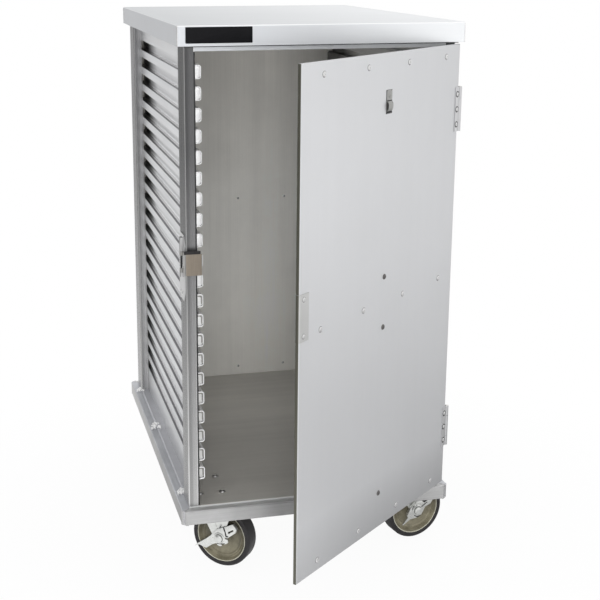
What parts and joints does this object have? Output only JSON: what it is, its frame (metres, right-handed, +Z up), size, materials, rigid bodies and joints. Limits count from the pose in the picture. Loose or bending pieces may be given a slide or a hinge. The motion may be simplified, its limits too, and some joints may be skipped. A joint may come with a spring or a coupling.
{
  "type": "enclosed bun pan rack",
  "caption": "Tall enclosed sheet pan rack: pressed ledge walls under a flat canopy, a hinged door with a side latch, a bumper rail round the base, and swivel casters with brake levers.",
  "frame": {"origin": "on the ground under the wheels, at the middle of the box that holds the rack with its door ajar", "axes": "+X across the front towards the hinge side, +Y from the door to the back, +Z up"},
  "size_m": [0.5718, 1.0694, 1.072],
  "materials": {
    "canopy_sheet": "satin mill finish",
    "wall_sheet": "satin mill finish, pressed",
    "back_sheet": "satin mill finish",
    "post_sheet": "satin mill finish with length-wise grain",
    "floor_sheet": "satin mill finish",
    "bumper_rail": "bright extruded finish",
    "channel_steel": "satin mill finish",
    "rivet_aluminium": "bright",
    "bolt_steel": "dull zinc",
    "hinge_steel": "satin",
    "latch_steel": "brushed",
    "spring_steel": "dull drawn wire",
    "caster_steel": "zinc plated",
    "lever_steel": "zinc plated",
    "hub_plastic": "matt",
    "tyre_rubber": "matt",
    "door_sheet": "satin mill finish",
    "plate_aluminium": "worn satin",
    "clip_steel": "satin",
    "screw_steel": "dark oxide"
  },
  "bodies": {
    "cabinet": {"canopy": "canopy_sheet", "header_rail": "canopy_sheet", "left_wall": "wall_sheet", "right_wall": "wall_sheet", "back_wall": "back_sheet", "back_stiffener": "back_sheet", "back_sill": "back_sheet", "post_front_left": "post_sheet", "post_front_right": "post_sheet", "post_rear_left": "post_sheet", "post_rear_right": "post_sheet", "floor_pan": "floor_sheet", "base_rail_front": "bumper_rail", "base_rail_rear": "bumper_rail", "base_rail_left": "bumper_rail", "base_rail_right": "bumper_rail", "cross_channel_front": "channel_steel", "cross_channel_rear": "channel_steel", "body_rivets": "rivet_aluminium", "caster_bolts": "bolt_steel", "post_leaf_upper": "hinge_steel", "post_leaf_lower": "hinge_steel", "hinge_pins": "bolt_steel", "latch_bracket": "latch_steel", "latch_pin": "bolt_steel", "latch_spring": "spring_steel", "caster_plate_fl": "caster_steel", "caster_plate_fr": "caster_steel", "caster_plate_rl": "caster_steel", "caster_plate_rr": "caster_steel", "kingpins": "bolt_steel"},
    "door": {"door_panel": "door_sheet", "door_stiffener_top": "door_sheet", "door_stiffener_middle": "door_sheet", "door_stiffener_bottom": "door_sheet", "door_leaf_upper": "hinge_steel", "door_leaf_lower": "hinge_steel", "door_rivets": "rivet_aluminium", "door_screws": "screw_steel", "door_edge_plate": "plate_aluminium", "card_clip": "clip_steel"},
    "latch": {"latch_arm": "latch_steel"},
    "fork_fl": {"fork_fl": "caster_steel", "axle_fl": "caster_steel"},
    "wheel_fl": {"hub_fl": "hub_plastic", "tyre_fl": "tyre_rubber"},
    "fork_fr": {"fork_fr": "caster_steel", "axle_fr": "caster_steel"},
    "wheel_fr": {"hub_fr": "hub_plastic", "tyre_fr": "tyre_rubber"},
    "fork_rl": {"fork_rl": "caster_steel", "axle_rl": "caster_steel"},
    "wheel_rl": {"hub_rl": "hub_plastic", "tyre_rl": "tyre_rubber"},
    "fork_rr": {"fork_rr": "caster_steel", "axle_rr": "caster_steel"},
    "wheel_rr": {"hub_rr": "hub_plastic", "tyre_rr": "tyre_rubber"},
    "brake_fl": {"brake_lever_fl": "lever_steel"},
    "brake_fr": {"brake_lever_fr": "lever_steel"}
  },
  "joints": [
    {"name": "door_swing", "type": "hinge", "parent": "cabinet", "child": "door", "pos_m": [0.24607, -0.20232, 0.6165], "axis": [0, 0, 1], "range_deg": [-40, 225]},
    {"name": "latch_swing", "type": "hinge", "parent": "cabinet", "child": "latch", "pos_m": [-0.27543, -0.17632, 0.6435], "axis": [0, 0, -1], "range_deg": [0, 45], "stiffness_Nm_per_rad": 0.3, "springref_deg": -20.05},
    {"name": "swivel_fl", "type": "hinge", "parent": "cabinet", "child": "fork_fl", "pos_m": [-0.21593, -0.10332, 0.156], "axis": [0, 0, 1], "continuous": true},
    {"name": "wheel_spin_fl", "type": "hinge", "parent": "fork_fl", "child": "wheel_fl", "pos_m": [-0.18682, -0.12775, 0.0635], "axis": [0.6428, 0.766, 0], "continuous": true},
    {"name": "brake_press_fl", "type": "hinge", "parent": "fork_fl", "child": "brake_fl", "pos_m": [-0.18682, -0.12775, 0.0635], "axis": [0.6428, 0.766, 0], "range_deg": [0, 30]},
    {"name": "swivel_fr", "type": "hinge", "parent": "cabinet", "child": "fork_fr", "pos_m": [0.18407, -0.10332, 0.156], "axis": [0, 0, 1], "continuous": true},
    {"name": "wheel_spin_fr", "type": "hinge", "parent": "fork_fr", "child": "wheel_fr", "pos_m": [0.22124, -0.09542, 0.0635], "axis": [-0.2079, 0.9781, 0], "continuous": true},
    {"name": "brake_press_fr", "type": "hinge", "parent": "fork_fr", "child": "brake_fr", "pos_m": [0.22124, -0.09542, 0.0635], "axis": [-0.2079, 0.9781, 0], "range_deg": [0, 30]},
    {"name": "swivel_rl", "type": "hinge", "parent": "cabinet", "child": "fork_rl", "pos_m": [-0.21593, 0.42968, 0.156], "axis": [0, 0, 1], "continuous": true},
    {"name": "wheel_spin_rl", "type": "hinge", "parent": "fork_rl", "child": "wheel_rl", "pos_m": [-0.19414, 0.46081, 0.0635], "axis": [-0.8192, 0.5736, 0], "continuous": true},
    {"name": "swivel_rr", "type": "hinge", "parent": "cabinet", "child": "fork_rr", "pos_m": [0.18407, 0.42968, 0.156], "axis": [0, 0, 1], "continuous": true},
    {"name": "wheel_spin_rr", "type": "hinge", "parent": "fork_rr", "child": "wheel_rr", "pos_m": [0.17747, 0.4671, 0.0635], "axis": [-0.9848, -0.1736, 0], "continuous": true}
  ]
}
